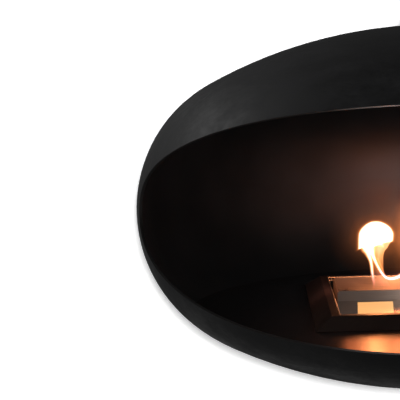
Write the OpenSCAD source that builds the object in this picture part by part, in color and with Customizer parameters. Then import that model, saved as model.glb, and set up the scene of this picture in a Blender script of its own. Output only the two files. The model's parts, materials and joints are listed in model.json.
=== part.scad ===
// Hanging fireplace: a squashed round steel vessel with a wide oval mouth, hung from the
// ceiling on a pole that turns in a thrust bearing, with a liquid-fuel burner on its hearth.
// The origin is the centre of the ceiling plate's top face. The mouth faces -Y.

/* [Vessel] */
// Largest diameter of the vessel
vessel_d = 900; // [820:5:960]
// Height of the vessel from bottom to top
vessel_h = 552; // [530:2:590]
// Radius of the round side, the knuckle, of each dished head
knuckle_r = 220; // [205:1:230]
// Thickness of the vessel's steel
shell_t = 4; // [3:0.5:6]
// Width of the mouth, seen from the front
mouth_w = 878; // [740:2:884]
// Height of the mouth, seen from the front
mouth_h = 328; // [290:2:340]
// Height of the mouth's middle above the vessel's seam
mouth_rise = 4; // [0:1:8]
// Fullness of the mouth's oval, where 2 is an ellipse
mouth_power = 2.47; // [2:0.01:3]

/* [Pole] */
// Outer diameter of the pole
pole_d = 48.3; // [40:0.1:60.3]
// Wall of the pole
pole_wall = 3; // [2:0.5:5]
// Length of the pole's tube
pole_len = 760; // [400:10:2000]
// Outer diameter of the two rings on the pole
ring_d = 64; // [63:1:90]
// Height of the two rings on the pole
ring_h = 14; // [8:1:30]
// Diameter of the cross bolt at the top of the pole
cross_bolt_d = 10; // [6:1:12]
// Distance of the cross bolt below the pole's top end
cross_bolt_drop = 18; // [14:1:30]

/* [Ceiling mount] */
// Diameter of the ceiling plate
plate_d = 150; // [140:2:200]
// Thickness of the ceiling plate
plate_t = 6; // [5:0.5:12]
// Pitch circle of the ceiling bolts
ceiling_pcd = 124; // [118:2:130]
// Diameter of the holes for the ceiling bolts
ceiling_hole_d = 9; // [7:0.5:11]
// Outer diameter of the bearing housing
housing_d = 76; // [72:1:80]
// Diameter of the bearing housing's flange
flange_d = 104; // [100:1:106]
// Thickness of the bearing housing's flange
flange_t = 6; // [4:0.5:10]
// Thickness of the bearing housing's floor
floor_t = 8; // [6:0.5:16]
// Diameter of the four screws that hold the housing
housing_screw_d = 6; // [4:0.5:6]
// Diameter of the spindle that carries the pole
spindle_d = 25; // [20:1:26]
// Length of the spindle's plug inside the pole
plug_len = 50; // [36:1:90]
// Thickness of the lock nut on the spindle
nut_t = 12; // [8:1:20]
// Outer diameter of the thrust bearing
bearing_d = 44; // [42:1:48]
// Thickness of each bearing race
race_t = 3; // [2:0.5:4]
// Diameter of a bearing ball
ball_d = 6; // [5:0.5:6]
// Number of bearing balls
ball_count = 12; // [8:1:13]

/* [Ceiling rose] */
// Diameter of the ceiling rose
rose_d = 172; // [168:2:240]
// Height of the ceiling rose
rose_h = 78; // [76:1:120]
// Wall of the ceiling rose
rose_wall = 1.5; // [1:0.5:3]
// Gap between the ceiling and the rose
rose_gap = 3; // [1:0.5:6]
// Diameter of the set screws in the two rings
set_screw_d = 5; // [4:0.5:6]

/* [Hanger inside the vessel] */
// Diameter of the pad that is welded under the vessel's top
pad_d = 140; // [134:2:180]
// Thickness of that pad on the axis
pad_t = 10; // [8:0.5:16]
// Diameter of the foot flange of the pole
foot_d = 124; // [122:2:132]
// Thickness of the foot flange
foot_t = 8; // [6:0.5:14]
// Pitch circle of the foot's bolts
foot_pcd = 92; // [88:1:96]
// Diameter of the foot's bolts
foot_bolt_d = 8; // [6:1:10]

/* [Hearth] */
// Depth of the hearth's top below the vessel's seam
hearth_drop = 159; // [157:1:161]
// Thickness of the hearth plate
hearth_t = 3; // [2:0.5:5]
// Number of brackets under the hearth plate
bracket_count = 6; // [4:1:8]
// Width of a bracket
bracket_w = 30; // [20:1:50]
// Depth of a bracket, from the vessel's wall inwards
bracket_reach = 34; // [24:1:60]
// Height of a bracket's web
bracket_h = 24; // [16:1:40]

/* [Burner] */
// Width of the burner's tray
tray_w = 294; // [280:2:340]
// Depth of the burner's tray
tray_d = 348; // [300:2:380]
// Thickness of the tray's and tank's sheet
sheet_t = 1.5; // [1:0.1:2]
// Height of the tray's lip above its floor
lip_h = 4; // [2.5:0.5:8]
// Width of the flat ledge on top of the surround
ledge_w = 12; // [8:1:20]
// Width of the surround's sloping face, seen from above
flare_w = 25; // [15:1:40]
// Height of the surround
surround_h = 18; // [16:0.5:24]
// Thickness of the surround's sheet
surround_t = 2; // [1.5:0.1:3]
// Length of the fuel tank
tank_w = 284; // [270:1:286]
// Width of the fuel tank
tank_d = 130; // [120:1:150]
// Height of the fuel tank
tank_h = 60; // [45:1:100]
// Height of the tank's rim above the hearth
tank_stand = 30; // [27:0.5:36]
// Distance of the tank's middle behind the tray's middle
tank_shift = 24; // [0:1:30]
// Radius of the tank's upper corners
tank_corner_r = 4; // [2:0.5:8]
// Depth of the mouth plate's top below the tank's rim
mouth_depth = 21; // [16:0.5:22]
// Width of the flange that carries the tank on the hearth
tank_flange_w = 10; // [6:0.5:12]
// Length of the burner's slot
slot_w = 230; // [180:2:236]
// Width of the burner's slot
slot_d = 42; // [30:1:44]
// Travel of the sliding lid
lid_travel = 54; // [53:1:55]
// Thickness of the sliding lid
lid_t = 1.5; // [1:0.1:2]

/* [Fits] */
// Running gap round the spindle
running_gap = 0.08; // [0.05:0.01:0.1]
// Gap round bolts, screws and fixed pieces
fixed_gap = 0.1; // [0.05:0.05:0.2]
// Gap between pieces that slide or rest on each other
slide_gap = 0.3; // [0.2:0.05:0.5]

/* [Hidden] */
$fn = 96;

// Vessel: crown and knuckle of the dished heads
vessel_r = vessel_d / 2;
head_h = vessel_h / 2;
knuckle_x = vessel_r - knuckle_r;
crown_r = (knuckle_x * knuckle_x + head_h * head_h - knuckle_r * knuckle_r)
    / (2 * (head_h - knuckle_r));
crown_z = head_h - crown_r;
tangent_angle = atan2(-crown_z, knuckle_x);
tangent_z = knuckle_r * sin(tangent_angle);
mouth_steps = 96;
mouth_near = 50;
mouth_far = vessel_r + 30;

// Ceiling mount, from the ceiling down
nut_gap = 4;
nut_z = -plate_t - nut_gap - nut_t;
race_gap = 0.15;
ball_z = nut_z - race_t - race_gap - ball_d / 2;
lower_race_z = ball_z - ball_d / 2 - race_gap - race_t;
housing_floor_z = lower_race_z - floor_t;
race_bore_d = spindle_d + 2 * fixed_gap;
ball_pcd = (bearing_d + race_bore_d) / 2;
cavity_d = bearing_d + 12;
housing_screw_pcd = (housing_d + flange_d) / 2;
housing_screw_head_d = 1.8 * housing_screw_d;
shoulder_t = 3;
housing_to_shoulder = 2;
pole_top_z = housing_floor_z - housing_to_shoulder - shoulder_t;
pole_r = pole_d / 2;
pole_bore_r = pole_r - pole_wall;
cross_bolt_z = pole_top_z - cross_bolt_drop;
cross_head_h = 0.64 * cross_bolt_d;
cross_nut_h = 0.8 * cross_bolt_d;

// Ceiling rose and its ring
rose_top_z = -rose_gap;
rose_bottom_z = rose_top_z - rose_h;

// Hanger inside the vessel
pole_bottom_z = pole_top_z - pole_len;
foot_recess = foot_t / 2;
pad_bottom_z = pole_bottom_z + foot_recess;
vessel_z = pad_bottom_z + pad_t + fixed_gap + shell_t - head_h;
pole_hole_d = pole_d + 2 * slide_gap;
foot_bolt_depth = 0.7 * pad_t;
foot_head_h = 0.64 * foot_bolt_d;

// Hearth and burner heights, from the vessel's seam
hearth_z = vessel_z - hearth_drop;
hearth_gap = 1;
bracket_t = 3;
bracket_top_z = hearth_z - hearth_t;
burner_z = hearth_z + slide_gap;
burner_y = 2;
tank_y = burner_y + tank_shift;
tray_z = burner_z + surround_h - lip_h;
rail_w = 20;
tank_top_z = hearth_z + tank_stand;
tank_z = tank_top_z - tank_h;
tank_cutout_gap = 3;
mouth_plate_z = tank_top_z - mouth_depth;
mouth_plate_h = mouth_plate_z - tank_z - sheet_t;
lid_z = mouth_plate_z + slide_gap;
slot_margin = 12;
slot_y = tank_y + tank_d / 2 - sheet_t - slot_margin - slot_d / 2;
lid_overlap = 4;
lid_w = slot_w + 2 * lid_overlap;
lid_d = slot_d + 2 * lid_overlap + 2;
lid_y = slot_y - lid_travel;
guide_t = 1.2;
guide_x = lid_w / 2 + slide_gap;
guide_lip = 3;

// ---------------------------------------------------------------- shared shapes

// Section of one dished head, solid, all its faces moved inwards by inset
module head_section(inset) {
    reach = 2 * crown_r;
    dir = [cos(tangent_angle), sin(tangent_angle)];
    crown = [0, crown_z];
    intersection() {
        union() {
            intersection() {
                translate(crown) circle(crown_r - inset, $fn = 360);
                polygon([crown, crown + reach * dir, crown + [0, reach]]);
            }
            translate([knuckle_x, 0]) circle(knuckle_r - inset, $fn = 180);
        }
        square(vessel_d);
    }
}

// Radius of the vessel's outside at a height above its seam
function outer_r(z) = abs(z) < tangent_z
    ? knuckle_x + sqrt(knuckle_r * knuckle_r - z * z)
    : sqrt(crown_r * crown_r - pow(abs(z) - crown_z, 2));

// Radius of the vessel's inside at a height above its seam
function inner_r(z) = knuckle_x + sqrt(pow(knuckle_r - shell_t, 2) - z * z);

// A power that keeps its argument's sign
function signed_pow(value, power) = sign(value) * pow(abs(value), power);

// Direction from the vessel's middle to the mouth's edge, as slopes of x and z over depth
function mouth_slope(angle) =
    let (
        x = mouth_w / 2 * signed_pow(cos(angle), 2 / mouth_power),
        z = mouth_rise + mouth_h / 2 * signed_pow(sin(angle), 2 / mouth_power),
        depth = sqrt(pow(outer_r(z), 2) - x * x)
    )
    [x / depth, z / depth];

// The mouth's cutter: a cone from the vessel's middle, so that the cut edge stays square
module mouth_cutter() {
    rim = [for (i = [0 : mouth_steps - 1]) mouth_near * mouth_slope(360 * i / mouth_steps)];
    rotate([90, 0, 0])
        translate([0, 0, mouth_near])
            linear_extrude(height = mouth_far - mouth_near, scale = mouth_far / mouth_near)
                polygon(rim);
}

// One dished head, crown up or down, with its half of the mouth cut out
module dished_head(up) {
    difference() {
        mirror([0, 0, up ? 0 : 1])
            rotate_extrude($fn = 180)
                difference() {
                    head_section(0);
                    head_section(shell_t);
                }
        mouth_cutter();
    }
}

// A hexagon prism by its width across flats
module hex_prism(flats, height) {
    cylinder(d = flats / cos(30), h = height, $fn = 6);
}

// Places children at count points on a circle
module on_circle(diameter, count, start = 0) {
    for (i = [0 : count - 1])
        rotate([0, 0, start + 360 * i / count])
            translate([diameter / 2, 0, 0])
                children();
}

// Rectangle with its two upper corners rounded, standing on y = 0
module arched_rectangle(width, height, radius) {
    translate([-width / 2, 0]) square([width, height - radius]);
    translate([-width / 2 + radius, 0]) square([width - 2 * radius, height]);
    for (side = [-1, 1])
        translate([side * (width / 2 - radius), height - radius])
            circle(radius, $fn = 48);
}

// A ring on the pole, drilled for its set screw
module pole_ring(height) {
    difference() {
        cylinder(d = ring_d, h = height);
        translate([0, 0, -1]) cylinder(d = pole_hole_d, h = height + 2);
        translate([0, 0, height / 2]) rotate([90, 0, 180])
            cylinder(d = set_screw_d + 2 * fixed_gap, h = ring_d);
    }
}

// A set screw with its hexagon socket, its tip against the pole, pointing to the rear
module set_screw() {
    tip = pole_r + slide_gap;
    length = ring_d / 2 - tip - 1;
    translate([0, tip, 0]) rotate([-90, 0, 0])
        difference() {
            cylinder(d = set_screw_d, h = length, $fn = 32);
            translate([0, 0, length - set_screw_d / 2]) hex_prism(set_screw_d / 2, set_screw_d);
        }
}

// ---------------------------------------------------------------- ceiling mount

module ceiling_plate() color("dimgray")
    translate([0, 0, -plate_t])
        difference() {
            cylinder(d = plate_d, h = plate_t);
            on_circle(ceiling_pcd, 4, 45)
                translate([0, 0, -1]) cylinder(d = ceiling_hole_d, h = plate_t + 2, $fn = 48);
            on_circle(housing_screw_pcd, 4)
                translate([0, 0, -1])
                    cylinder(d = housing_screw_d + 2 * fixed_gap, h = plate_t, $fn = 48);
        }

module bearing_housing() color("slategray")
    difference() {
        union() {
            translate([0, 0, -plate_t - flange_t]) cylinder(d = flange_d, h = flange_t);
            translate([0, 0, housing_floor_z])
                cylinder(d = housing_d, h = -plate_t - housing_floor_z);
        }
        translate([0, 0, lower_race_z]) cylinder(d = cavity_d, h = -lower_race_z);
        translate([0, 0, housing_floor_z - 1])
            cylinder(d = spindle_d + 2 * running_gap, h = floor_t + 2);
        on_circle(housing_screw_pcd, 4)
            translate([0, 0, -plate_t - flange_t - 1])
                cylinder(d = housing_screw_d + 2 * fixed_gap, h = flange_t + 2, $fn = 48);
    }

module housing_screws() color("silver")
    on_circle(housing_screw_pcd, 4)
        translate([0, 0, -plate_t - flange_t])
            union() {
                cylinder(d = housing_screw_d, h = flange_t + plate_t - 2, $fn = 48);
                difference() {
                    translate([0, 0, -housing_screw_d / 2])
                        cylinder(d = housing_screw_head_d, h = housing_screw_d / 2, $fn = 48);
                    translate([0, 0, -housing_screw_d])
                        hex_prism(housing_screw_d * 0.6, housing_screw_d * 0.8);
                }
            }

module race(z) {
    translate([0, 0, z])
        difference() {
            cylinder(d = bearing_d, h = race_t);
            translate([0, 0, -1]) cylinder(d = race_bore_d, h = race_t + 2);
        }
}

module lower_race() color("silver") race(lower_race_z);

module upper_race() color("silver") race(nut_z - race_t);

module bearing_balls() color("gainsboro")
    on_circle(ball_pcd, ball_count)
        translate([0, 0, ball_z]) sphere(d = ball_d, $fn = 32);

module ball_cage() color("goldenrod")
    translate([0, 0, ball_z - ball_d / 6])
        difference() {
            cylinder(d = bearing_d - 2, h = ball_d / 3);
            translate([0, 0, -1]) cylinder(d = race_bore_d + 2, h = ball_d);
            on_circle(ball_pcd, ball_count)
                translate([0, 0, -1]) cylinder(d = ball_d + 2 * fixed_gap, h = ball_d, $fn = 48);
        }

module spindle() color("silver")
    difference() {
        union() {
            translate([0, 0, pole_top_z])
                cylinder(d = spindle_d, h = nut_z + nut_t + 1 - pole_top_z);
            translate([0, 0, pole_top_z]) cylinder(d = pole_d, h = shoulder_t);
            translate([0, 0, pole_top_z - plug_len])
                cylinder(r = pole_bore_r - fixed_gap, h = plug_len);
        }
        cross_bolt_hole();
    }

module lock_nut() color("silver")
    translate([0, 0, nut_z])
        difference() {
            hex_prism(1.6 * spindle_d, nut_t);
            translate([0, 0, -1]) cylinder(d = spindle_d + 2 * fixed_gap, h = nut_t + 2);
        }

// ---------------------------------------------------------------- pole

module cross_bolt_hole() {
    translate([-pole_d, 0, cross_bolt_z]) rotate([0, 90, 0])
        cylinder(d = cross_bolt_d + 2 * fixed_gap, h = 2 * pole_d, $fn = 48);
}

module pole() color("dimgray")
    difference() {
        translate([0, 0, pole_bottom_z]) cylinder(d = pole_d, h = pole_len);
        translate([0, 0, pole_bottom_z - 1]) cylinder(r = pole_bore_r, h = pole_len + 2);
        cross_bolt_hole();
    }

module pole_bolt() color("silver")
    translate([-pole_r, 0, cross_bolt_z]) rotate([0, 90, 0]) {
        translate([0, 0, -cross_head_h]) hex_prism(1.7 * cross_bolt_d, cross_head_h);
        translate([0, 0, -cross_head_h / 2])
            cylinder(d = cross_bolt_d, h = pole_d + cross_head_h / 2 + cross_nut_h + 2, $fn = 48);
    }

module pole_bolt_nut() color("silver")
    translate([pole_r, 0, cross_bolt_z]) rotate([0, 90, 0])
        difference() {
            hex_prism(1.7 * cross_bolt_d, cross_nut_h);
            translate([0, 0, -1])
                cylinder(d = cross_bolt_d + 2 * fixed_gap, h = cross_nut_h + 2, $fn = 48);
        }

// ---------------------------------------------------------------- ceiling rose

module ceiling_rose() color("dimgray")
    translate([0, 0, rose_bottom_z])
        difference() {
            cylinder(d = rose_d, h = rose_h);
            translate([0, 0, rose_wall]) cylinder(d = rose_d - 2 * rose_wall, h = rose_h);
            translate([0, 0, -1]) cylinder(d = pole_hole_d, h = rose_wall + 2);
        }

module rose_ring() color("dimgray")
    translate([0, 0, rose_bottom_z - ring_h]) pole_ring(ring_h);

module rose_set_screw() color("silver")
    translate([0, 0, rose_bottom_z - ring_h / 2]) set_screw();

// ---------------------------------------------------------------- vessel and hanger

module vessel_ring() color("dimgray")
    difference() {
        translate([0, 0, vessel_z + head_h]) pole_ring(ring_h);
        translate([0, 0, vessel_z + crown_z]) sphere(crown_r, $fn = 180);
    }

module vessel_set_screw() color("silver")
    translate([0, 0, vessel_z + head_h + ring_h / 2]) set_screw();

module upper_shell() color([0.12, 0.12, 0.13])
    translate([0, 0, vessel_z])
        difference() {
            dished_head(true);
            cylinder(d = pole_hole_d, h = vessel_h);
        }

module lower_shell() color([0.12, 0.12, 0.13])
    translate([0, 0, vessel_z]) dished_head(false);

module hanger_pad() color("dimgray")
    difference() {
        intersection() {
            translate([0, 0, vessel_z + crown_z])
                sphere(crown_r - shell_t - fixed_gap, $fn = 180);
            translate([0, 0, pad_bottom_z]) cylinder(d = pad_d, h = 2 * pad_t);
        }
        translate([0, 0, pad_bottom_z - 1]) cylinder(d = pole_hole_d, h = 2 * pad_t);
        on_circle(foot_pcd, 4, 45)
            translate([0, 0, pad_bottom_z - 1])
                cylinder(d = foot_bolt_d + 2 * fixed_gap, h = foot_bolt_depth + 1, $fn = 48);
    }

module pole_foot() color("dimgray")
    translate([0, 0, pad_bottom_z - foot_t])
        difference() {
            cylinder(d = foot_d, h = foot_t);
            translate([0, 0, foot_t - foot_recess]) cylinder(r = pole_r + fixed_gap, h = foot_t);
            on_circle(foot_pcd, 4, 45)
                translate([0, 0, -1])
                    cylinder(d = foot_bolt_d + 2 * fixed_gap, h = foot_t + 2, $fn = 48);
        }

module foot_bolts() color("silver")
    on_circle(foot_pcd, 4, 45)
        translate([0, 0, pad_bottom_z - foot_t]) {
            translate([0, 0, -foot_head_h]) hex_prism(1.625 * foot_bolt_d, foot_head_h);
            translate([0, 0, -foot_head_h / 2])
                cylinder(d = foot_bolt_d, h = foot_head_h / 2 + foot_t + foot_bolt_depth - 1,
                    $fn = 48);
        }

// ---------------------------------------------------------------- hearth

module hearth_plate() color([0.07, 0.07, 0.07])
    translate([0, 0, bracket_top_z])
        difference() {
            cylinder(r = inner_r(hearth_drop + hearth_t) - hearth_gap, h = hearth_t, $fn = 180);
            translate([0, 0, -1]) tank_block(tank_cutout_gap, hearth_t + 2);
        }

module hearth_brackets() color("dimgray")
    translate([0, 0, vessel_z])
        intersection() {
            mirror([0, 0, 1]) rotate_extrude($fn = 180) head_section(shell_t + fixed_gap);
            on_circle(0, bracket_count, 180 / bracket_count)
                translate([0, 0, -hearth_drop - hearth_t]) bracket_blank();
        }

// A bracket's tab and its web, before the vessel's wall trims them
module bracket_blank() {
    start = inner_r(hearth_drop + hearth_t) - bracket_reach;
    far = vessel_r - start;
    translate([start, -bracket_w / 2, -bracket_t]) cube([far, bracket_w, bracket_t]);
    rotate([90, 0, 0]) translate([0, 0, -bracket_t / 2])
        linear_extrude(height = bracket_t)
            polygon([[start + 4, -1], [vessel_r, -1], [vessel_r, -bracket_h - bracket_t],
                [start + 12, -bracket_h - bracket_t]]);
}

// ---------------------------------------------------------------- burner

// A block over the tank's plan, grown on all sides
module tank_block(grow, height) {
    width = tank_w + 2 * grow;
    depth = tank_d + 2 * grow;
    translate([-width / 2, tank_y - depth / 2, 0]) cube([width, depth, height]);
}

// Half sizes of the opening inside the surround
inner_x = tray_w / 2 + slide_gap;
inner_y = tray_d / 2 + slide_gap;

// One mitred side of the surround, along X: its inner edge is half_depth from the middle
module surround_side(half_length, half_depth) {
    ledge = ledge_w - slide_gap;
    rim = half_depth + ledge;
    base = rim + flare_w;
    mitre = half_length + ledge + flare_w;
    base_t = surround_t * norm([flare_w, surround_h]) / surround_h;
    under_rim = rim - base_t + flare_w * surround_t / surround_h;
    under = surround_h - surround_t;
    intersection() {
        rotate([90, 0, 90])
            translate([0, 0, -mitre])
                linear_extrude(height = 2 * mitre)
                    polygon([[half_depth, surround_h], [rim, surround_h], [base, 0],
                        [base - base_t, 0], [under_rim, under], [half_depth, under]]);
        linear_extrude(height = surround_h)
            polygon([[-half_length, half_depth], [half_length, half_depth],
                [mitre, base], [-mitre, base]]);
    }
}

module burner_surround() color([0.2, 0.14, 0.11])
    translate([0, burner_y, burner_z])
        for (turn = [0, 180]) {
            rotate([0, 0, turn]) surround_side(inner_x, inner_y);
            rotate([0, 0, turn + 90]) surround_side(inner_y, inner_x);
        }

module burner_tray() color("silver")
    translate([0, burner_y, tray_z])
        difference() {
            translate([-tray_w / 2, -tray_d / 2, -sheet_t]) cube([tray_w, tray_d, sheet_t + lip_h]);
            translate([-tray_w / 2 + sheet_t, -tray_d / 2 + sheet_t, 0])
                cube([tray_w - 2 * sheet_t, tray_d - 2 * sheet_t, lip_h + 1]);
            translate([0, -burner_y, -sheet_t - 1]) tank_block(slide_gap, sheet_t + 2);
        }

// Two upturned channels that carry the tray on the hearth, before and behind the tank
module tray_rails() color("silver") {
    height = tray_z - sheet_t - burner_z;
    length = tray_w - 12;
    for (side = [-1, 1])
        translate([-length / 2, (burner_y + tank_y + side * (tank_d + tray_d) / 2) / 2, burner_z])
            rotate([90, 0, 90])
                linear_extrude(height = length)
                    difference() {
                        translate([-rail_w / 2, 0]) square([rail_w, height]);
                        translate([-rail_w / 2 + sheet_t, -1])
                            square([rail_w - 2 * sheet_t, height - sheet_t + 1]);
                    }
}

module burner_tank() color("silver")
    translate([0, tank_y, tank_z])
        difference() {
            translate([0, tank_d / 2, 0]) rotate([90, 0, 0])
                linear_extrude(height = tank_d) arched_rectangle(tank_w, tank_h, tank_corner_r);
            translate([-tank_w / 2 + sheet_t, -tank_d / 2 + sheet_t, sheet_t])
                cube([tank_w - 2 * sheet_t, tank_d - 2 * sheet_t, tank_h]);
        }

// Frame round the tank that rests on the hearth and carries it
module tank_flange() color("silver")
    translate([0, 0, burner_z])
        difference() {
            tank_block(tank_flange_w, sheet_t);
            translate([0, 0, -1]) tank_block(fixed_gap, sheet_t + 2);
        }

// Folded plate that stands in the tank on its two skirts, with the burner's slot in it
module mouth_plate() color("silver") {
    half_w = tank_w / 2 - sheet_t - slide_gap;
    half_d = tank_d / 2 - sheet_t - slide_gap;
    difference() {
        translate([-half_w, tank_y - half_d, tank_z + sheet_t])
            cube([2 * half_w, 2 * half_d, mouth_plate_h]);
        translate([-half_w - 1, tank_y - half_d + sheet_t, tank_z])
            cube([2 * half_w + 2, 2 * (half_d - sheet_t), mouth_plate_h]);
        translate([-slot_w / 2, slot_y - slot_d / 2, tank_z])
            cube([slot_w, slot_d, mouth_plate_h + 2 * sheet_t]);
    }
}

module fuel_wool() color("white") {
    half_w = tank_w / 2 - sheet_t - 2;
    half_d = tank_d / 2 - 2 * sheet_t - 2 * slide_gap;
    translate([-half_w, tank_y - half_d, tank_z + sheet_t])
        cube([2 * half_w, 2 * half_d, mouth_plate_h - sheet_t - slide_gap]);
}

module lid_guides() color("silver")
    for (side = [0, 1])
        mirror([side, 0, 0])
            translate([guide_x, tank_y, mouth_plate_z]) {
                length = tank_d - 2 * sheet_t - 4;
                lip_bottom = 2 * slide_gap + lid_t;
                translate([0, -length / 2, 0]) cube([guide_t, length, lip_bottom + guide_t]);
                translate([-guide_lip, -length / 2, lip_bottom])
                    cube([guide_lip + guide_t, length, guide_t]);
            }

module slider_lid() color("silver")
    translate([-lid_w / 2, lid_y - lid_d / 2, lid_z])
        cube([lid_w, lid_d, lid_t]);

module lid_handle() color("dimgray")
    translate([0, lid_y - lid_d / 2 + 6, lid_z + lid_t]) {
        translate([-14, 0, 0]) cube([28, 8, 1.2]);
        translate([0, 1.2, 0]) rotate([90, 0, 0])
            linear_extrude(height = 1.2) arched_rectangle(28, 12, 4);
    }

ceiling_plate();
bearing_housing();
housing_screws();
lower_race();
bearing_balls();
ball_cage();
upper_race();
spindle();
lock_nut();
pole();
pole_bolt();
pole_bolt_nut();
ceiling_rose();
rose_ring();
rose_set_screw();
vessel_ring();
vessel_set_screw();
upper_shell();
lower_shell();
hanger_pad();
pole_foot();
foot_bolts();
hearth_plate();
hearth_brackets();
burner_surround();
burner_tray();
tray_rails();
burner_tank();
tank_flange();
mouth_plate();
fuel_wool();
lid_guides();
slider_lid();
lid_handle();
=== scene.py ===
"""Looks of the hanging fireplace: black stove paint, a brushed steel burner and its flames."""

import json
import math

import bmesh
import bpy
import numpy as np
from mathutils import Matrix, Vector

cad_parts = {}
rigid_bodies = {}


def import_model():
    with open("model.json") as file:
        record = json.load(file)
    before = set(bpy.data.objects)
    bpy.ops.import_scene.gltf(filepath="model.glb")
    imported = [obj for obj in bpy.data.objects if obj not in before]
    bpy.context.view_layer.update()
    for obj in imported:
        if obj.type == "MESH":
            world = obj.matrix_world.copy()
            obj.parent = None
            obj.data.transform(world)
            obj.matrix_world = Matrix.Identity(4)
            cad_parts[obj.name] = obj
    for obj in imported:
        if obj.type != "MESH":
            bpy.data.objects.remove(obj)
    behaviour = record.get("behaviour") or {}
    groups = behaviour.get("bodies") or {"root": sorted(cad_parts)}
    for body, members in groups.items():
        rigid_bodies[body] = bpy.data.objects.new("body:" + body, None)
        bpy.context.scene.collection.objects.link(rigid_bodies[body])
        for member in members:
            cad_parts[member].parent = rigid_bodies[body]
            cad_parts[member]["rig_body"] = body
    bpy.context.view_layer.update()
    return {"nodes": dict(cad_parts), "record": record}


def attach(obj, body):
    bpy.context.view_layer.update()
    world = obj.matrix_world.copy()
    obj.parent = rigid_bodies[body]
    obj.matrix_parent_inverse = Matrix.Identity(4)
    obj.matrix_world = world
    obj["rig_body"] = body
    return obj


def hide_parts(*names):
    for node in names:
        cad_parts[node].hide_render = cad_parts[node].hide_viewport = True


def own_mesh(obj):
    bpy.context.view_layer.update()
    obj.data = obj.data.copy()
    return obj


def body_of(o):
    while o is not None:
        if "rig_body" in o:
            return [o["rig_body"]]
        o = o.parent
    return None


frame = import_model()
nodes = frame["nodes"]
scene = bpy.context.scene

VESSEL_Z = -1.0652  # height of the vessel's seam under the ceiling


# ---------------------------------------------------------------- node helpers

# Sockets of the Mix node by their place, because its names repeat
FACTOR, FLOAT_A, FLOAT_B, COLOUR_A, COLOUR_B = 0, 2, 3, 6, 7
FLOAT_RESULT, COLOUR_RESULT = 0, 2

# Most of a noise lies between these values
NOISE_LOW, NOISE_HIGH = 0.3, 0.7


def add_node(tree, kind, inputs=(), **props):
    """A new node, whose inputs are given as values or as the outputs of other nodes."""
    node = tree.nodes.new(kind)
    for key, value in props.items():
        setattr(node, key, value)
    for key, value in dict(inputs).items():
        if isinstance(value, bpy.types.NodeSocket):
            tree.links.new(value, node.inputs[key])
        else:
            node.inputs[key].default_value = value
    return node


class Mat:
    """A node material with a Principled shader, and short ways to add nodes to it."""

    def __init__(self, name, **sockets):
        self.material = bpy.data.materials.new(name)
        self.material.use_nodes = True
        self.tree = self.material.node_tree
        self.shader = self.tree.nodes["Principled BSDF"]
        self.output = self.tree.nodes["Material Output"]
        for key, value in sockets.items():
            self.shader.inputs[key.replace("_", " ")].default_value = value
        self.coord = self.tree.nodes.new("ShaderNodeTexCoord")

    def node(self, kind, inputs=(), **props):
        return add_node(self.tree, kind, inputs, **props)

    def place(self, scale):
        inputs = {"Vector": self.coord.outputs["Object"], "Scale": scale}
        return self.node("ShaderNodeMapping", inputs).outputs["Vector"]

    def noise(self, size, detail=4, rough=0.5, scale=(1, 1, 1)):
        """Noise with features of about that size in metres, made longer along an axis by a scale below 1."""
        return self.node(
            "ShaderNodeTexNoise",
            {"Vector": self.place(scale), "Scale": 1 / size, "Detail": detail, "Roughness": rough},
        ).outputs["Fac"]

    def spread(self, value, low, high, to_low=0.0, to_high=1.0, smooth=True):
        """The value with its range from low to high moved onto another range, and held at its ends."""
        return self.node(
            "ShaderNodeMapRange",
            {"Value": value, "From Min": low, "From Max": high, "To Min": to_low, "To Max": to_high},
            interpolation_type="SMOOTHSTEP" if smooth else "LINEAR",
        ).outputs["Result"]

    def vary(self, noise, low=0.0, high=1.0):
        """That noise, spread out between two values."""
        return self.spread(noise, NOISE_LOW, NOISE_HIGH, low, high)

    def math(self, op, a, b=0.5):
        return self.node("ShaderNodeMath", {0: a, 1: b}, operation=op).outputs[0]

    def weigh(self, a, b, share):
        """The first value with its share, and the second with the rest."""
        return self.math("ADD", self.math("MULTIPLY", a, share), self.math("MULTIPLY", b, 1 - share))

    def vector(self, op, *values):
        return self.node("ShaderNodeVectorMath", dict(enumerate(values)), operation=op).outputs

    def height(self, point):
        return self.node("ShaderNodeSeparateXYZ", {0: point}).outputs["Z"]

    def mix(self, factor, a, b):
        """A colour between two colours, each given as red, green and blue or as a node's output."""
        a, b = (c if isinstance(c, bpy.types.NodeSocket) else (*c, 1) for c in (a, b))
        inputs = {FACTOR: factor, COLOUR_A: a, COLOUR_B: b}
        return self.node("ShaderNodeMix", inputs, data_type="RGBA").outputs[COLOUR_RESULT]

    def link(self, value, key):
        self.tree.links.new(value, self.shader.inputs[key])

    def linked(self, key):
        """The node output that now feeds that input of the shader."""
        return self.shader.inputs[key].links[0].from_socket

    def bump(self, height, depth):
        """Bump of that depth in metres for a height from 0 to 1."""
        return self.node("ShaderNodeBump", {"Height": height, "Distance": depth}).outputs["Normal"]


def give(mat, piece):
    """That piece takes that material, in place of the one it came with."""
    piece.data.materials.clear()
    piece.data.materials.append(mat.material)


def collect(name, objects):
    """A collection of those objects, for light linking."""
    collection = bpy.data.collections.new(name)
    for obj in objects:
        collection.objects.link(obj)
    return collection


# ---------------------------------------------------------------- materials


def paint(name, base, rough, cloud=0.3, grain=0.00001, specular=0.35, size=0.16, wear=0.045):
    """Sprayed satin paint: faint clouds in colour and gloss, and a fine grain."""
    mat = Mat(name, IOR=1.5, Specular_IOR_Level=specular)
    clouds = mat.noise(size, 5, 0.55)
    fine = mat.noise(size / 12, 3)
    tone = mat.weigh(clouds, fine, 0.75)
    light = tuple(c * (1 + cloud) for c in base)
    dark = tuple(c * (1 - cloud) for c in base)
    mat.link(mat.mix(mat.vary(tone), dark, light), "Base Color")
    mat.link(mat.vary(tone, rough - wear, rough + wear), "Roughness")
    if grain:
        mat.link(mat.bump(mat.noise(0.0012, 2), grain), "Normal")
    return mat


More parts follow.
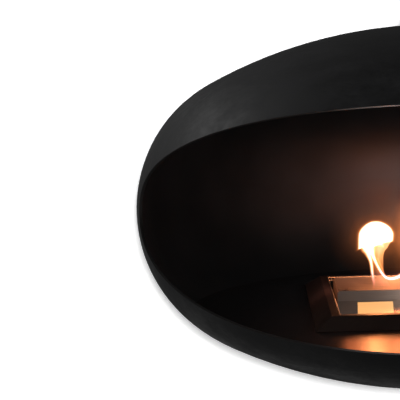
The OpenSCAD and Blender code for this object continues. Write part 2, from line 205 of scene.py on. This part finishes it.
def brushed(name, base, rough, along, streak=0.12, depth=0.000006, metal=1.0):
    """Steel brushed along one axis: fine lines in colour, gloss and height."""
    mat = Mat(name, Metallic=metal)
    stretch = {"x": (0.02, 1, 1), "z": (1, 1, 0.02)}[along]
    lines = mat.noise(0.0009, 3, 0.6, stretch)
    stains = mat.noise(0.05, 4, 0.6)
    tone = mat.weigh(lines, stains, 0.6)
    light = tuple(min(1, c * (1 + streak)) for c in base)
    dark = tuple(c * (1 - streak) for c in base)
    mat.link(mat.mix(mat.vary(tone), dark, light), "Base Color")
    mat.link(mat.vary(tone, rough - 0.03, rough + 0.05), "Roughness")
    mat.link(mat.bump(lines, depth), "Normal")
    return mat


def vessel_paint():
    """Satin stove paint outside and on the cut edge, a painted highlight on the upper lip's cut edge, and a
    duller black inside that is darkened as painted shade.
    """
    mat = paint("vessel_black", (0.014, 0.014, 0.0148), 0.5, cloud=0.8, size=0.09, wear=0.15)
    outer = mat.linked("Base Color")
    gloss = mat.linked("Roughness")
    point = mat.vector("SUBTRACT", mat.coord.outputs["Object"], (0, 0, VESSEL_Z))[0]
    outward = mat.vector("NORMALIZE", point)[0]
    facing = mat.vector("DOT_PRODUCT", outward, mat.coord.outputs["Normal"])["Value"]
    inside = mat.spread(facing, 0.1, -0.1)
    edge = mat.spread(mat.math("ABSOLUTE", facing), 0.3, 0.15)
    # The inside is a far darker black than the outside paint: painted shade of the hollow, with a random
    # mottle that also varies its gloss.
    inside_mottle = mat.noise(0.09, 5, 0.6)
    painted_shade_inside = mat.mix(mat.vary(inside_mottle), (0.003, 0.003, 0.003), (0.0045, 0.0044, 0.0044))
    # The upper lip's cut edge is lighter than the paint: a painted highlight where the edge catches the
    # light. The lower lip's edge keeps the plain paint.
    upper_lip_highlight = mat.spread(mat.height(point), -0.02, 0.02)
    cut = mat.mix(upper_lip_highlight, (0.014, 0.014, 0.014), (0.05, 0.049, 0.048))
    mat.link(mat.mix(edge, mat.mix(inside, outer, painted_shade_inside), cut), "Base Color")
    dull = mat.vary(inside_mottle, 0.31, 0.36)
    rough = mat.node("ShaderNodeMix", {FACTOR: inside, FLOAT_A: gloss, FLOAT_B: dull})
    mat.link(rough.outputs[FLOAT_RESULT], "Roughness")
    return mat


def tray_steel():
    """The tray's floor is a mirror, and its thin lip above the floor also scatters the fire's light."""
    mat = brushed("stainless_tray", (0.55, 0.48, 0.41), 0.06, "x", depth=0.000008)
    height = mat.height(mat.coord.outputs["Object"])
    lip = mat.spread(height, VESSEL_Z - 0.1434, VESSEL_Z - 0.1424)
    mat.link(mat.spread(lip, 0, 1, 1.0, 0.3, smooth=False), "Metallic")
    return mat


def fibre_wool():
    """Matte ceramic fibre with a short, tangled nap."""
    mat = Mat("wool", Roughness=0.95)
    fibre = mat.noise(0.0012, 4, 0.7, (1, 3, 1))
    mat.link(mat.mix(mat.vary(fibre), (0.5, 0.46, 0.4), (0.82, 0.8, 0.75)), "Base Color")
    mat.link(mat.bump(fibre, 0.0006), "Normal")
    return mat


HEARTH = {"cloud": 0.15, "specular": 0.5, "grain": 0, "size": 0.5, "wear": 0.01}
FINISH = {
    "vessel_black": vessel_paint(),
    "black_paint": paint("black_paint", (0.016, 0.016, 0.017), 0.42),
    "hearth_black": paint("hearth_black", (0.009, 0.009, 0.0094), 0.24, **HEARTH),
    "surround_bronze": paint("surround_bronze", (0.03, 0.018, 0.014), 0.36, specular=0.5, size=0.08),
    "stainless_tray": tray_steel(),
    "stainless_tank": brushed("stainless_tank", (0.4, 0.39, 0.38), 0.4, "x", metal=0.5),
    "stainless": brushed("stainless", (0.48, 0.46, 0.44), 0.35, "x"),
    "zinc_steel": brushed("zinc_steel", (0.58, 0.59, 0.61), 0.34, "z", streak=0.08),
    "bearing_steel": brushed("bearing_steel", (0.7, 0.71, 0.72), 0.14, "z", streak=0.05),
    "cage_brass": brushed("cage_brass", (0.72, 0.5, 0.2), 0.3, "z"),
    "black_screw": paint("black_screw", (0.03, 0.029, 0.03), 0.36, size=0.02),
    "wool": fibre_wool(),
}
SLOT = {part["node"]: part["material_slot"] for part in frame["record"]["subparts"]}
for name, slot in SLOT.items():
    give(FINISH[slot], nodes[name])


# ---------------------------------------------------------------- rounded sheet metal

SHARP = math.radians(35)  # an edge that bends more than this is rounded off
FLAT = math.radians(0.5)  # faces that bend less than this are one face


def rounded(name, width):
    """The same part with its sharp edges rounded off, as cut, folded and deburred sheet has them."""
    cad = nodes[name]
    mesh = cad.data.copy()
    bm = bmesh.new()
    bm.from_mesh(mesh)
    bmesh.ops.remove_doubles(bm, verts=bm.verts, dist=1e-6)
    bmesh.ops.dissolve_limit(bm, angle_limit=FLAT, verts=bm.verts, edges=bm.edges)
    bm.to_mesh(mesh)
    bm.free()
    obj = bpy.data.objects.new(name + "_rounded", mesh)
    scene.collection.objects.link(obj)
    bevel = obj.modifiers.new("round", "BEVEL")
    bevel.width = width
    bevel.segments = 3
    bevel.limit_method = "ANGLE"
    bevel.angle_limit = SHARP
    bevel.harden_normals = True
    for face in mesh.polygons:
        face.use_smooth = True
    mesh.set_sharp_from_angle(angle=SHARP)
    give(FINISH[SLOT[name]], obj)
    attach(obj, body_of(cad)[0])
    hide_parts(name)
    return obj


EDGE_WIDTH = {
    "burner_surround": 0.0007,
    "burner_tray": 0.0006,
    "burner_tank": 0.0006,
    "mouth_plate": 0.0004,
    "lid_guides": 0.0003,
    "slider_lid": 0.0004,
    "lid_handle": 0.0003,
}
sheet_metal = {name: rounded(name, width) for name, width in EDGE_WIDTH.items()}


# ---------------------------------------------------------------- flames


# How the flame looks from black to its hottest: where along its fire value, and the colour there
HEAT_COLOURS = (
    (0.0, (0.0, 0.0, 0.0)),
    (0.1, (0.006, 0.0018, 0.0006)),
    (0.2, (0.02, 0.006, 0.002)),
    (0.3, (0.055, 0.015, 0.004)),
    (0.4, (0.12, 0.033, 0.009)),
    (0.5, (0.24, 0.065, 0.018)),
    (0.6, (0.4, 0.13, 0.038)),
    (0.7, (0.5, 0.235, 0.075)),
    (0.8, (0.58, 0.4, 0.19)),
    (0.9, (0.75, 0.62, 0.42)),
    (1.0, (1.0, 0.9, 0.75)),
)
BLUER = (0.7, 0.85, 2.4, 1)  # what the fuel's vapour does to those colours near the slot
CAST = (1.0, 0.32, 0.1, 1)  # the flame's colour in the steel around it


def flame_material():
    """Glowing gas: it adds light to what is behind it, and its fire value sets how hot it looks."""
    mat = Mat("flame")
    mat.tree.nodes.remove(mat.shader)
    fire = mat.node("ShaderNodeAttribute", attribute_name="fire", attribute_type="GEOMETRY").outputs["Fac"]
    flicker = mat.noise(0.012, 3, 0.5, (1, 1, 0.5))
    hot = mat.math("MULTIPLY", fire, mat.vary(flicker, 0.96, 1.04))
    ramp = mat.node("ShaderNodeValToRGB", {"Fac": hot})
    stops = ramp.color_ramp.elements
    for at, _ in HEAT_COLOURS[1:-1]:
        stops.new(at)
    for stop, (at, colour) in zip(stops, HEAT_COLOURS):
        stop.position, stop.color = at, (*colour, 1)
    colour = ramp.outputs["Color"]
    low = mat.spread(mat.height(mat.coord.outputs["Object"]), VESSEL_Z - 0.108, VESSEL_Z - 0.132)
    inputs = {FACTOR: 1.0, COLOUR_A: colour, COLOUR_B: BLUER}
    blue = mat.node("ShaderNodeMix", inputs, data_type="RGBA", blend_type="MULTIPLY").outputs[COLOUR_RESULT]
    seen = mat.node("ShaderNodeEmission", {"Color": mat.mix(low, colour, blue), "Strength": 2.0})
    heat = mat.math("MULTIPLY", mat.math("POWER", hot, 1.4), 3.6)
    cast = mat.node("ShaderNodeEmission", {"Color": CAST, "Strength": heat})
    camera_ray = mat.node("ShaderNodeLightPath").outputs["Is Camera Ray"]
    light = mat.node("ShaderNodeMixShader", {0: camera_ray, 1: cast.outputs[0], 2: seen.outputs[0]})
    clear = mat.node("ShaderNodeBsdfTransparent")
    both = mat.node("ShaderNodeAddShader", {0: light.outputs[0], 1: clear.outputs[0]})
    mat.tree.links.new(both.outputs[0], mat.output.inputs["Surface"])
    return mat


FLAME = flame_material()
FLAME_Y = 56.5  # the middle of the burner's slot, in millimetres

around_flames = [nodes[name] for name in ("hearth_plate", "tray_rails", "tank_flange", "fuel_wool")]
lit_by_flames = collect("lit_by_flames", [*sheet_metal.values(), *around_flames])


def smooth_path(points, steps):
    """Points along a smooth curve through the given rows of numbers."""
    pts = np.array(points, float)
    at = np.linspace(0, len(pts) - 1, steps * (len(pts) - 1) + 1)
    i = np.clip(at.astype(int), 0, len(pts) - 2)
    f = (at - i)[:, None]
    p0, p1 = pts[np.clip(i - 1, 0, None)], pts[i]
    p2, p3 = pts[i + 1], pts[np.clip(i + 2, None, len(pts) - 1)]
    curve = 2 * p1 + (p2 - p0) * f
    curve = curve + (2 * p0 - 5 * p1 + 4 * p2 - p3) * f**2
    return 0.5 * (curve + (3 * p1 - p0 - 3 * p2 + p3) * f**3)


def flame(name, sheets):
    """Thin glowing sheets that ride with the burner. A sheet is a grid of x, y, z and fire, in millimetres
    from the vessel's middle."""
    verts, faces = [], []
    for grid in sheets:
        rows, columns = len(grid), len(grid[0])
        first = len(verts)
        verts.extend(point for row in grid for point in row)
        for r in range(rows - 1):
            for c in range(columns - 1):
                at = first + r * columns + c
                faces.append((at, at + 1, at + columns + 1, at + columns))
    mesh = bpy.data.meshes.new(name)
    mesh.from_pydata([(x / 1000, y / 1000, VESSEL_Z + z / 1000) for x, y, z, fire in verts], [], faces)
    fires = np.clip([fire for x, y, z, fire in verts], 0, 1).astype(np.float32)
    mesh.attributes.new("fire", "FLOAT", "POINT").data.foreach_set("value", fires)
    mesh.materials.append(FLAME.material)
    for face in mesh.polygons:
        face.use_smooth = True
    obj = bpy.data.objects.new(name, mesh)
    scene.collection.objects.link(obj)
    obj.visible_shadow = False
    obj.visible_diffuse = False
    obj.light_linking.receiver_collection = lit_by_flames
    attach(obj, "burner")
    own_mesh(obj)
    return obj


# The share of the fire from a tongue's middle, 0, to its edge, 1
SOFT = ((0, 1), (0.25, 0.97), (0.45, 0.82), (0.6, 0.66), (0.75, 0.5), (0.88, 0.3), (1, 0))
FULL = ((0, 1), (0.6, 1), (0.8, 0.9), (0.88, 0.75), (0.94, 0.55), (1, 0))
FAINT = ((0, 1), (0.5, 0.95), (0.8, 0.6), (1, 0))
THIN = 0.15  # the least half width and half depth of a tongue


def tongue(name, rows, profile=SOFT, turns=(0, 90), y=FLAME_Y):
    """A strand or tongue along a path, from rows of x, z, half width, half depth and fire. Each turn in
    degrees is one sheet through the path."""
    path = smooth_path(rows, 7)
    path[:, 2:4] = np.maximum(path[:, 2:4], THIN)
    ahead = np.gradient(path[:, :2], axis=0)
    ahead /= np.maximum(np.linalg.norm(ahead, axis=1), 1e-9)[:, None]
    columns = [(-u, f) for u, f in profile[:0:-1]] + list(profile)
    sheets = []
    for turn in turns:
        c, s = math.cos(math.radians(turn)), math.sin(math.radians(turn))
        grid = []
        for (x, z, wide, deep, hot), (tx, tz) in zip(path, ahead):
            grid.append(
                [
                    (x + tz * u * wide * c, y + u * deep * s, z - tx * u * wide * c, hot * f)
                    for u, f in columns
                ]
            )
        sheets.append(grid)
    return flame(name, sheets)


def veil(name, rows, profile, y=FLAME_Y):
    """A curtain of flame from rows of z, left x, right x and fire. The profile runs from left to right."""
    path = smooth_path(rows, 5)
    grid = [[(left + (right - left) * u, y, z, hot * f) for u, f in profile] for z, left, right, hot in path]
    return flame(name, [grid])


def head(name, outline, middle, profile, core, depth=0.45):
    """A body of flame inside a closed outline of x and z, shrunk and grown about its middle. The profile
    gives the fire from the middle out, and its values past 1 are the glow around the flame. The core is
    the same for the two turned sheets that give the body its depth."""
    edge = np.array(outline, float)
    edge = smooth_path([*edge, edge[0]], 4)
    sheets = []
    for turn, shares in ((0, profile), (60, core), (120, core)):
        c, s = math.cos(math.radians(turn)), math.sin(math.radians(turn))
        grid = []
        for share, f in shares:
            ring = (edge - middle) * share
            grid.append([(middle[0] + x * c, FLAME_Y + x * s * depth, middle[1] + z, f) for x, z in ring])
        sheets.append(grid)
    return flame(name, sheets)


def halo(name, middle, rings, y, height=0.88):
    """The oval glare around a flame, painted as a glowing sheet in the air, from rings of radius and fire."""
    x, z = middle
    turns = np.linspace(0, 2 * math.pi, 49)
    grid = []
    for radius, f in rings:
        grid.append([(x + radius * math.cos(a), y, z + height * radius * math.sin(a), f) for a in turns])
    return flame(name, [grid])


# The left flame: a round head in its painted glare, a skirt that narrows downwards, and a stem up from the
# slot
head(
    "flame_left_head",
    [
        (-73.2, -33.4),
        (-80.0, -34.2),
        (-88.5, -38.1),
        (-96.1, -44.6),
        (-100.1, -51.9),
        (-101.4, -60.0),
        (-101.8, -67.2),
        (-101.9, -74.4),
        (-101.7, -78.6),
        (-96.6, -77.0),
        (-86.0, -77.5),
        (-76.0, -75.0),
        (-66.0, -71.4),
        (-57.0, -69.0),
        (-49.5, -68.0),
        (-46.3, -66.8),
        (-45.2, -63.5),
        (-44.6, -55.9),
        (-45.6, -50.9),
        (-49.3, -44.6),
        (-57.2, -38.1),
        (-66.0, -34.2),
    ],
    (-74, -56),
    (
        (0, 1),
        (0.9, 1),
        (0.95, 0.92),
        (0.98, 0.74),
        (1.0, 0.6),
        (1.02, 0.5),
        (1.06, 0.36),
        (1.12, 0.2),
        (1.22, 0),
    ),
    ((0, 1), (0.6, 1), (0.8, 0.7), (0.92, 0.3), (1, 0)),
)
halo(
    "flame_left_halo",
    (-73, -58),
    ((0, 0.3), (26, 0.34), (34, 0.29), (45, 0.2), (55, 0.13), (66, 0.06), (78, 0)),
    FLAME_Y + 1,
)
veil(
    "flame_left_skirt",
    [
        (-62.0, -88, -46.0, 0.84),
        (-67.2, -88, -46.6, 0.86),
        (-69.1, -88, -47.5, 0.93),
        (-71.5, -88, -49.5, 0.93),
        (-74.4, -88, -51.5, 0.93),
        (-77.9, -87, -53.5, 0.92),
        (-83.7, -85, -58.3, 0.89),
        (-91.8, -84, -60.6, 0.82),
        (-103.3, -82, -61.0, 0.72),
        (-112.0, -81, -60.8, 0.64),
        (-121.0, -80, -59.6, 0.55),
        (-130.0, -79, -56.0, 0.5),
        (-140.0, -78, -50.0, 0.4),
    ],
    (
        (0, 0.2),
        (0.1, 0.7),
        (0.3, 0.72),
        (0.5, 0.85),
        (0.65, 0.9),
        (0.85, 0.84),
        (0.93, 0.84),
        (0.97, 0.6),
        (1.0, 0),
    ),
    FLAME_Y + 6,
)
tongue(
    "flame_left_stem",
    [
        (-78.7, -143.5, 3.0, 4, 0.2),
        (-78.3, -133.3, 3.6, 4, 0.5),
        (-79.2, -126.0, 3.6, 4, 0.7),
        (-80.1, -117.9, 3.6, 4, 0.86),
        (-80.7, -112.0, 3.7, 4, 0.92),
        (-81.3, -104.7, 3.9, 4, 0.95),
        (-82.6, -96.6, 4.5, 5, 0.97),
        (-84.8, -89.5, 6.0, 6, 1.0),
        (-87.2, -82.0, 8.5, 7, 1.0),
        (-90.0, -76.0, 10.5, 8, 1.0),
        (-90.0, -66.0, 12.0, 9, 1.0),
    ],
    y=FLAME_Y - 3,
)
# The strand that hangs over from the middle flame and rises into the left one, and a faint trail beside it
tongue(
    "flame_middle_stem",
    [
        (-14.7, -112.5, 11.0, 6.2, 0.95),
        (-26, -118.5, 7.5, 5.2, 0.93),
        (-35.9, -122.6, 5.4, 4.2, 0.92),
        (-41.7, -125.0, 4.6, 4.2, 0.92),
        (-48.3, -126.6, 4.0, 4.2, 0.92),
        (-55.5, -126.0, 3.6, 4.2, 0.92),
        (-60.6, -122.8, 3.5, 4.2, 0.92),
        (-65.2, -117.2, 3.4, 4.2, 0.92),
        (-69.5, -109.8, 3.5, 4.2, 0.92),
        (-73.0, -103.0, 3.7, 4.2, 0.93),
        (-76.6, -94.6, 4.4, 5.2, 0.95),
        (-79.0, -88.0, 5.6, 6.2, 1.0),
        (-80.6, -81.5, 8.0, 7.2, 1.0),
        (-81.4, -74.0, 10.5, 8.2, 1.0),
        (-81.0, -62.0, 12.0, 8.2, 1.0),
    ],
    y=FLAME_Y - 5,
)
tongue(
    "flame_left_trail",
    [
        (-53.5, -139.0, 1.5, 2, 0.2),
        (-57.7, -130.2, 2.2, 3, 0.4),
        (-61.1, -119.9, 2.2, 3, 0.5),
        (-63.1, -114.0, 2.2, 3, 0.55),
        (-66.5, -105.1, 2.2, 3, 0.55),
        (-71.3, -93.3, 2.2, 4, 0.5),
    ],
    y=FLAME_Y + 3,
)
# A painted glow behind the flames: a glowing sheet that lays an orange haze over what lies behind them
veil(
    "flame_glow",
    [
        (10, -80, 100, 0),
        (-10, -80, 100, 0.3),
        (-35, -80, 100, 0.5),
        (-62, -80, 100, 0.58),
        (-80, -80, 100, 0.5),
        (-100, -80, 100, 0.36),
        (-120, -80, 100, 0.3),
        (-135, -80, 100, 0.25),
        (-148, -80, 100, 0),
    ],
    (
        (0, 0),
        (0.07, 0.25),
        (0.144, 0.45),
        (0.2, 0.6),
        (0.256, 0.85),
        (0.39, 1),
        (0.7, 1),
        (0.8, 0.6),
        (0.9, 0.3),
        (1, 0),
    ),
    FLAME_Y + 8,
)
# The flames past the photograph's right edge, as the left one suggests them
tongue(
    "flame_centre",
    [
        (2.2, -151, 14.5, 9.4, 0.15),
        (0.2, -140.6, 25.9, 12.5, 0.5),
        (2.2, -121.9, 30.1, 15.6, 0.9),
        (6.4, -101.1, 28, 17.7, 1.0),
        (12.6, -74, 25.9, 18.7, 1.0),
        (16.8, -47, 21.8, 15.6, 1.0),
        (15.8, -22, 15.5, 10.4, 1.0),
        (10.6, -1.2, 8.3, 6.2, 0.95),
        (6.4, 15.5, 3.6, 2.1, 0.8),
        (5.4, 22.7, 0.5, 0.5, 0.5),
    ],
    FULL,
    (0, 60, 120),
)
tongue(
    "flame_right",
    [
        (89.6, -151, 10.4, 7.3, 0.15),
        (87.6, -142.7, 16.6, 9.4, 0.45),
        (83.4, -126.1, 19.7, 11.4, 0.85),
        (79.2, -105.2, 20.7, 13.5, 1.0),
        (81.3, -82.4, 18.7, 13.5, 1.0),
        (86.5, -61.5, 14.5, 10.4, 1.0),
        (88.6, -42.8, 8.3, 6.2, 0.95),
        (86.5, -28.2, 3.6, 2.6, 0.85),
        (85.5, -22, 0.5, 0.5, 0.5),
    ],
    FULL,
    (0, 60, 120),
)
tongue(
    "flame_right_stem",
    [
        (35.5, -127.1, 5.5, 5.2, 0.9),
        (48, -131.3, 4.4, 4.2, 0.9),
        (60.5, -130.2, 4.2, 4.2, 0.9),
        (70.9, -124, 5.0, 5.2, 0.92),
        (78.2, -112.5, 7.2, 6.2, 0.95),
    ],
)
tongue(
    "flame_far_right",
    [
        (107, -151, 5.2, 6.2, 0.15),
        (108, -142.7, 6.2, 6.2, 0.4),
        (107, -126.1, 6.4, 6.2, 0.8),
        (104, -110.5, 5.7, 5.2, 0.9),
        (102, -96.9, 1, 1, 0.8),
    ],
)

# The low flames along the slot, by x and half width
LOW_FLAMES = ((-62, 20), (-38, 22), (-14, 24), (16, 24), (46, 24), (88, 18))
for k, (x, wide) in enumerate(LOW_FLAMES):
    rows = [
        (x, -150, wide, 10, 0.27),
        (x + 1, -143, wide + 1, 12, 0.27),
        (x, -132, wide - 2, 10, 0.22),
        (x - 1, -120, wide / 2, 3, 0.1),
    ]
    tongue(f"flame_base_{k}", rows, FAINT, y=FLAME_Y + (9, 11)[k % 2])


# ---------------------------------------------------------------- stage

WHITE = (1, 1, 1, 1)
CORNERS = ((-1, -1), (1, -1), (1, 1), (-1, 1))
FLOOR_Z, FLOOR_REACH = -1.95, 12
BACKDROP_Y, BACKDROP_REACH = 0.56, 3
BACKDROP_MIDDLE_Z, BACKDROP_RISE = -0.9, 1.5


def stage_material(name, base, glow):
    """White for the camera with shadows kept, seen from its front alone, and out of the lamps' way."""
    mat = Mat(name)
    mat.tree.nodes.remove(mat.shader)
    diffuse = mat.node("ShaderNodeBsdfDiffuse", {"Color": (base, base, base, 1)})
    emission = mat.node("ShaderNodeEmission", {"Color": WHITE, "Strength": glow})
    both = mat.node("ShaderNodeAddShader", {0: diffuse.outputs[0], 1: emission.outputs[0]})
    clear = mat.node("ShaderNodeBsdfTransparent")
    path = mat.node("ShaderNodeLightPath")
    back = mat.node("ShaderNodeNewGeometry").outputs["Backfacing"]
    shown = mat.math("MULTIPLY", path.outputs["Is Camera Ray"], mat.math("SUBTRACT", 1.0, back))
    pick = mat.node("ShaderNodeMixShader", {0: shown, 1: clear.outputs[0], 2: both.outputs[0]})
    mat.tree.links.new(pick.outputs[0], mat.output.inputs["Surface"])
    return mat


def plane(name, corners, mat):
    """A part of the stage around the object."""
    mesh = bpy.data.meshes.new(name)
    mesh.from_pydata(corners, [], [(0, 1, 2, 3)])
    obj = bpy.data.objects.new(name, mesh)
    scene.collection.objects.link(obj)
    mesh.materials.append(mat.material)
    return obj


plane(
    "floor",
    [(FLOOR_REACH * x, FLOOR_REACH * y, FLOOR_Z) for x, y in CORNERS],
    stage_material("floor", 0.8, 0.55),
)
backdrop = plane(
    "backdrop",
    [(BACKDROP_REACH * x, BACKDROP_Y, BACKDROP_MIDDLE_Z + BACKDROP_RISE * z) for x, z in CORNERS],
    stage_material("backdrop", 0.8, 0.45),
)


def studio_world():
    """White for the camera. Rough surfaces see a soft room, brighter above, and gloss sees one that is
    brighter on the left."""
    world = bpy.data.worlds.new("studio")
    world.use_nodes = True
    tree = world.node_tree
    tree.nodes.clear()

    def fade(value, start, end, low, high):
        inputs = {"Value": value, "From Min": start, "From Max": end, "To Min": low, "To Max": high}
        return add_node(tree, "ShaderNodeMapRange", inputs, interpolation_type="SMOOTHSTEP").outputs["Result"]

    def background(strength):
        return add_node(tree, "ShaderNodeBackground", {"Strength": strength, "Color": WHITE}).outputs[0]

    def choose(factor, a, b):
        return add_node(tree, "ShaderNodeMixShader", {0: factor, 1: a, 2: b}).outputs[0]

    ray = add_node(tree, "ShaderNodeLightPath").outputs
    way = add_node(tree, "ShaderNodeTexCoord").outputs["Generated"]
    way = add_node(tree, "ShaderNodeSeparateXYZ", {0: way}).outputs
    room = background(fade(way["Z"], -0.2, 0.9, 0.095, 0.3))
    sheen = background(fade(way["X"], 0.15, -0.6, 0.05, 0.13))
    inputs = {0: ray["Is Camera Ray"], 1: ray["Is Transmission Ray"]}
    direct = add_node(tree, "ShaderNodeMath", inputs, operation="MAXIMUM").outputs[0]
    sky = choose(direct, choose(ray["Is Glossy Ray"], room, sheen), background(1.0))
    add_node(tree, "ShaderNodeOutputWorld", {"Surface": sky})
    return world


scene.world = studio_world()


# ---------------------------------------------------------------- lamps

NEUTRAL = (1, 1, 1)
ORANGE = (1, 0.26, 0.1)
FIRE = (1.0, 0.27, 0.085)
SLOT_Y = FLAME_Y / 1000


def by_vessel(x, y, z):
    """A place by its distance from the vessel's middle."""
    return (x, y, VESSEL_Z + z)


MIDDLE = by_vessel(0, 0, 0)


def lamp(
    name,
    kind,
    at,
    power,
    aim=None,
    colour=NEUTRAL,
    size=1.0,
    angle=None,
    only=(),
    blockers=(),
    glossy=True,
    diffuse=True,
):
    """A lamp, aimed at a point, that may light only some objects and be shaded by only some."""
    data = bpy.data.lights.new(name, kind)
    data.energy = power
    data.color = colour
    if kind == "AREA":
        data.shape = "RECTANGLE"
        data.size, data.size_y = size if isinstance(size, tuple) else (size, size)
    else:
        data.shadow_soft_size = size
    if kind == "SPOT":
        data.spot_size = math.radians(angle)
        data.spot_blend = 1.0
    obj = bpy.data.objects.new(name, data)
    scene.collection.objects.link(obj)
    obj.location = at
    obj.visible_camera = False
    obj.visible_glossy = glossy
    obj.visible_diffuse = diffuse
    if aim is not None:
        obj.rotation_euler = (Vector(aim) - Vector(at)).to_track_quat("-Z", "Y").to_euler()
    if only:
        obj.light_linking.receiver_collection = collect(name + "_lights", only)
    if blockers:
        obj.light_linking.blocker_collection = collect(name + "_blockers", blockers)
    return obj


shells = [nodes["upper_shell"], nodes["lower_shell"]]
hearth = [nodes["hearth_plate"]]
burner = list(sheet_metal.values())
tank = [sheet_metal["burner_tank"]]
surround = [sheet_metal["burner_surround"]]
tray = [sheet_metal["burner_tray"]]

# The lamp beside the camera that throws the object's shadow on the backdrop
lamp(
    "backdrop_lamp",
    "SPOT",
    by_vessel(-0.232, -2.3, 0.286),
    300,
    (0, BACKDROP_Y, VESSEL_Z),
    size=0.035,
    angle=75,
    only=[backdrop],
)

# The studio's soft light
for name, at, power, size in (
    ("side_window", (-2.32, 0.58, 1.45), 7.2, 1.6),
    ("rear_window", (-1.6, 1.3, 1.6), 2.5, 1.4),
    ("right_window", (2.5, 1.3, 0.8), 7.5, 1.6),
    ("floor_bounce", (-0.28, 2.4, -1.41), 0.7, 1.6),
):
    lamp(name, "AREA", by_vessel(*at), power, MIDDLE, size=size)

# What the fire and the room show as gloss on the vessel's inside
for name, at, power, colour in (
    ("sheen_low", (-0.03, SLOT_Y, -0.1), 0.46, NEUTRAL),
    ("sheen_mid", (-0.03, SLOT_Y, -0.02), 0.44, NEUTRAL),
    ("sheen_high", (-0.03, SLOT_Y, 0.14), 0.68, NEUTRAL),
    ("sheen_room", (-0.1, -0.25, 0), 0.085, NEUTRAL),
    ("fire_low", (0.05, SLOT_Y, -0.1), 0.4, (1, 0.33, 0.19)),
    ("fire_edge", (-0.02, 0.1, -0.1), 0.5, ORANGE),
    ("fire_mid", (0.05, SLOT_Y, 0.06), 0.45, ORANGE),
    ("fire_high", (0.05, SLOT_Y, 0.14), 0.35, ORANGE),
    ("fire_front", (0.1, -0.25, 0.05), 1.4, ORANGE),
):
    lamp(name, "POINT", by_vessel(*at), power, colour=colour, size=0.05, only=shells, diffuse=False)

# The fire's light on the vessel's shells and on the parts around the flames
HEART = (0.05, SLOT_Y, -0.03)
for name, at, power, colour, size, only, glossy in (
    ("soot_light", HEART, 2.6, (0.6, 1, 1.15), 0.05, shells, False),
    ("hearth_fill", HEART, 2.2, NEUTRAL, 0.05, hearth, False),
    ("flame_light", (-0.05, 0.04, -0.125), 0.14, FIRE, 0.02, burner, True),
    ("tray_bounce", (0, -0.13, -0.139), 0.3, (1.0, 0.72, 0.58), 0.03, tank, True),
    ("end_bounce", (-0.19, 0.03, -0.1), 0.08, FIRE, 0.02, tank, True),
    ("ledge_glow", (-0.13, 0.03, -0.07), 0.3, (1, 0.48, 0.38), 0.02, surround, False),
    ("side_glow", (-0.45, 0, 0), 1.0, (1, 0.95, 0.95), 0.05, surround, False),
    ("lip_glow", (-0.1, -0.06, -0.06), 1.7, (1, 0.38, 0.17), 0.02, tray, False),
    ("back_lip_glow", (-0.06, 0.09, -0.11), 0.5, (1, 0.42, 0.2), 0.02, tray, False),
):
    lamp(name, "POINT", by_vessel(*at), power, colour=colour, size=size, only=only, glossy=glossy)

# The bright patch that the tray mirrors in front of the tank
lamp(
    "tray_mirror",
    "AREA",
    by_vessel(-0.085, -0.045, -0.135),
    0.0036,
    by_vessel(-0.085, -1, -0.135),
    (1, 0.5, 0.17),
    (0.054, 0.016),
    only=tray,
    diffuse=False,
)

# The flames' reflection in the hearth, which the surround doesn't shade
for name, x, power in (("hearth_glow_left", -0.068, 0.32), ("hearth_glow_right", 0.01, 0.45)):
    lamp(
        name,
        "POINT",
        by_vessel(x, SLOT_Y, -0.092),
        power,
        colour=(1, 0.22, 0.075),
        size=0.06,
        only=hearth,
        blockers=shells,
        diffuse=False,
    )


# ---------------------------------------------------------------- camera

# The place and direction of the photograph's camera, found by fitting the outline, both lips and the burner
CAMERA_RIGHT = Vector((0.99866587, 0.03849483, -0.03441854))
CAMERA_UP = Vector((0.03035245, 0.10163491, 0.99435862))
CAMERA_AHEAD = Vector((-0.04177579, 0.9940767, -0.10033091))
CAMERA_AT = by_vessel(-0.25992, -2.17202, 0.234076)

camera_data = bpy.data.cameras.new("camera")
camera_data.lens = 125.39
camera_data.sensor_width = 36
camera_data.clip_start = 0.05
camera_data.clip_end = 100
camera = bpy.data.objects.new("camera", camera_data)
scene.collection.objects.link(camera)
turn = Matrix((CAMERA_RIGHT, CAMERA_UP, -CAMERA_AHEAD)).transposed().to_4x4()
camera.matrix_world = Matrix.Translation(CAMERA_AT) @ turn
scene.camera = camera
scene.view_settings.view_transform = "Standard"
